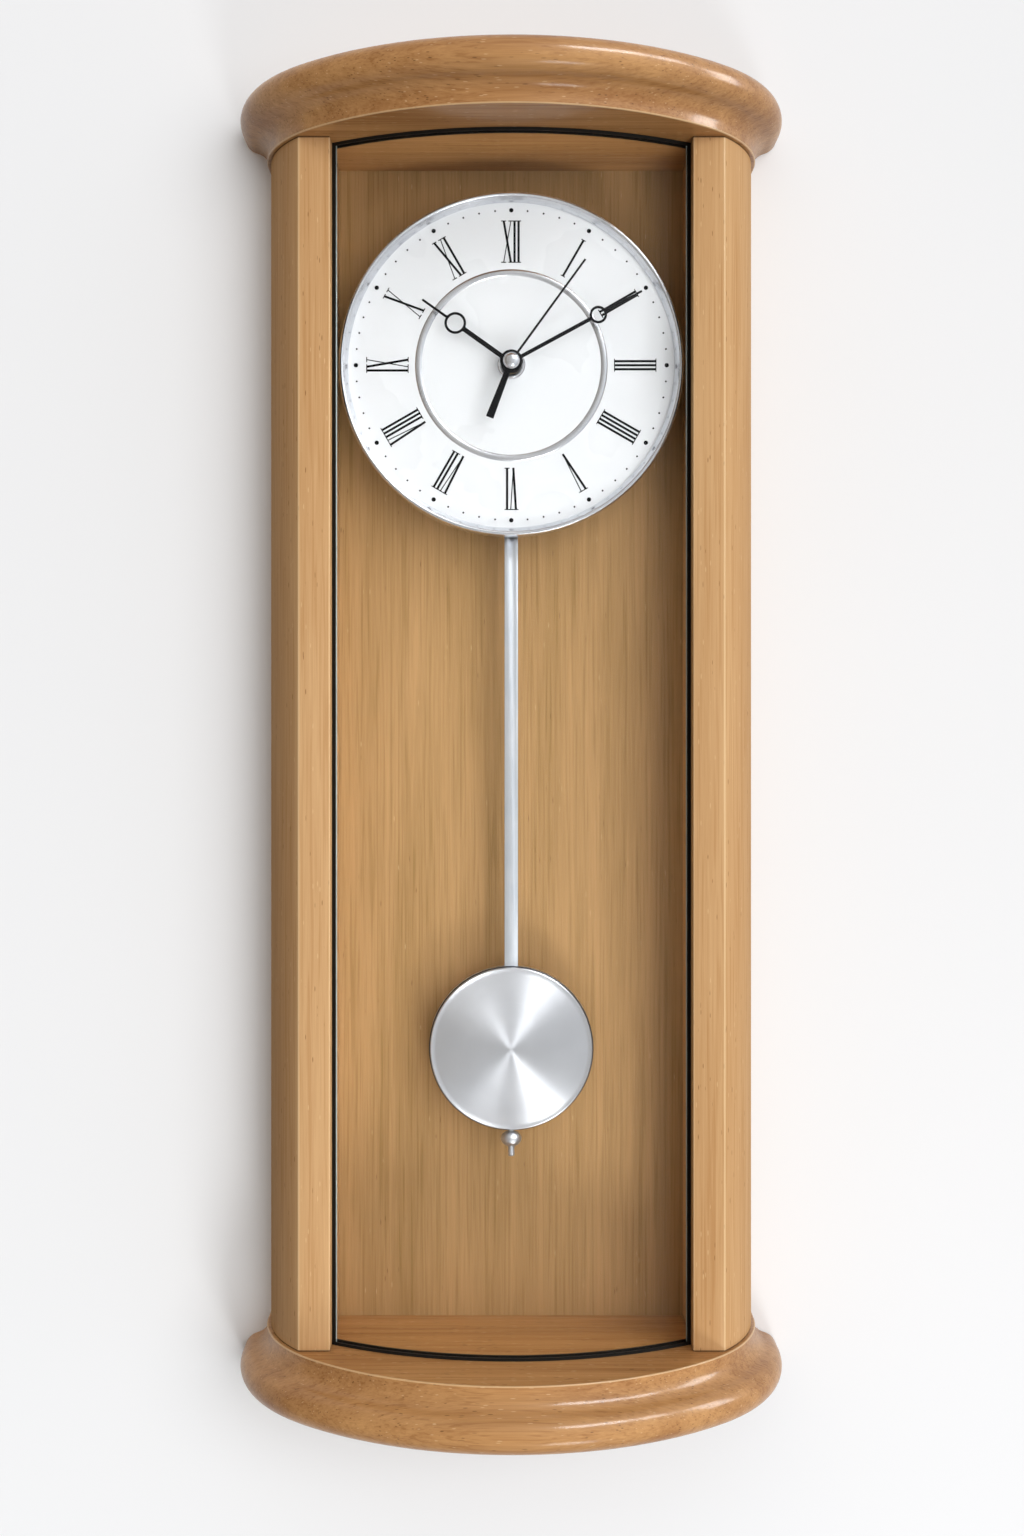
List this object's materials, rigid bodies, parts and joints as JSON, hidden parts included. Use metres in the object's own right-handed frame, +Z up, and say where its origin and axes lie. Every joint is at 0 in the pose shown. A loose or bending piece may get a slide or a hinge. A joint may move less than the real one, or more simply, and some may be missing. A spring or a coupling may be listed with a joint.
{
  "type": "pendulum wall clock",
  "caption": "Tall bow-fronted wooden wall clock with moulded crown and base, bent glass front, round white dial with Roman numerals and a swinging disc pendulum.",
  "frame": {"origin": "middle of the round part of the hanging keyhole, in the plane of the wall", "axes": "+X to the viewer's right, +Z up, +Y into the wall; the front faces -Y"},
  "size_m": [0.2678, 0.1169, 0.628],
  "materials": {
    "stained_beech": "satin lacquer over stained beech",
    "oak_veneer": "satin lacquer over veneered plywood",
    "clear_glass": "polished bent glass",
    "black_rubber": "matt black channel",
    "zinc_steel": "zinc plated",
    "white_dial": "white enamel paint, semi gloss",
    "black_print": "printed ink",
    "silver_trim": "satin anodised",
    "black_hand": "semi gloss black lacquer",
    "black_plastic": "moulded ABS",
    "wheel_plastic": "moulded acetal",
    "turned_brass": "turned",
    "copper_wire": "enamelled copper winding",
    "circuit_laminate": "green solder mask",
    "battery_jacket": "plain printed jacket",
    "anodised_rod": "satin anodised strip",
    "spun_aluminium": "spun, with turning marks",
    "plated_brass": "nickel plated"
  },
  "bodies": {
    "case": {"back_board": "oak_veneer", "left_post": "stained_beech", "right_post": "stained_beech", "crown": "stained_beech", "base": "stained_beech", "dowels": "stained_beech", "back_screws": "zinc_steel", "hanger_plate": "zinc_steel", "hanger_screws": "zinc_steel", "front_glass": "clear_glass", "top_strip": "black_rubber", "bottom_strip": "black_rubber", "left_strip": "black_rubber", "right_strip": "black_rubber", "spacers": "zinc_steel", "spacer_screws": "zinc_steel", "dial_carrier": "zinc_steel", "dial": "white_dial", "dial_print": "black_print", "bezel": "silver_trim", "dial_ring": "silver_trim", "movement_case": "black_plastic", "movement_cover": "black_plastic", "centre_bush": "turned_brass", "bush_nut": "silver_trim", "battery": "battery_jacket", "battery_contacts": "zinc_steel", "circuit_board": "circuit_laminate", "motor_coil": "copper_wire", "motor_stator": "zinc_steel", "drive_coil": "copper_wire", "pivot_pin": "zinc_steel"},
    "hour_work": {"hour_hand": "black_hand", "hour_wheel": "wheel_plastic"},
    "minute_work": {"minute_hand": "black_hand", "minute_wheel": "wheel_plastic"},
    "second_work": {"second_hand": "black_hand", "second_arbor": "zinc_steel", "hand_cap": "silver_trim"},
    "intermediate_work": {"intermediate_wheel": "wheel_plastic"},
    "setting": {"setting_knob": "black_plastic"},
    "pendulum": {"pendulum_hanger": "black_plastic", "drive_magnet": "zinc_steel", "pendulum_rod": "anodised_rod", "bob_front": "spun_aluminium", "bob_back": "spun_aluminium", "rod_stud": "plated_brass"},
    "nut": {"rating_nut": "plated_brass"}
  },
  "joints": [
    {"name": "minute_turn", "type": "hinge", "parent": "case", "child": "minute_work", "pos_m": [0, -0.044, -0.076], "axis": [0, 1, 0], "continuous": true},
    {"name": "hour_turn", "type": "hinge", "parent": "case", "child": "hour_work", "pos_m": [0, -0.0412, -0.076], "axis": [0, 1, 0], "continuous": true},
    {"name": "intermediate_turn", "type": "hinge", "parent": "case", "child": "intermediate_work", "pos_m": [0, -0.028, -0.088], "axis": [0, 1, 0], "continuous": true},
    {"name": "knob_turn", "type": "hinge", "parent": "case", "child": "setting", "pos_m": [0, -0.012, -0.1], "axis": [0, 1, 0], "continuous": true},
    {"name": "second_turn", "type": "hinge", "parent": "case", "child": "second_work", "pos_m": [0, -0.0464, -0.076], "axis": [0, 1, 0], "continuous": true},
    {"name": "pendulum_swing", "type": "hinge", "parent": "case", "child": "pendulum", "pos_m": [0, -0.025, -0.114], "axis": [0, 1, 0], "range_deg": [-7, 7]},
    {"name": "nut_turn", "type": "hinge", "parent": "pendulum", "child": "nut", "pos_m": [0, -0.02825, -0.45175], "axis": [0, 0, 1], "continuous": true}
  ],
  "couplings": [
    {"joint": "hour_turn", "follows": "minute_turn", "ratio": 0.083333},
    {"joint": "intermediate_turn", "follows": "minute_turn", "ratio": -0.33333},
    {"joint": "knob_turn", "follows": "minute_turn", "ratio": 1}
  ]
}
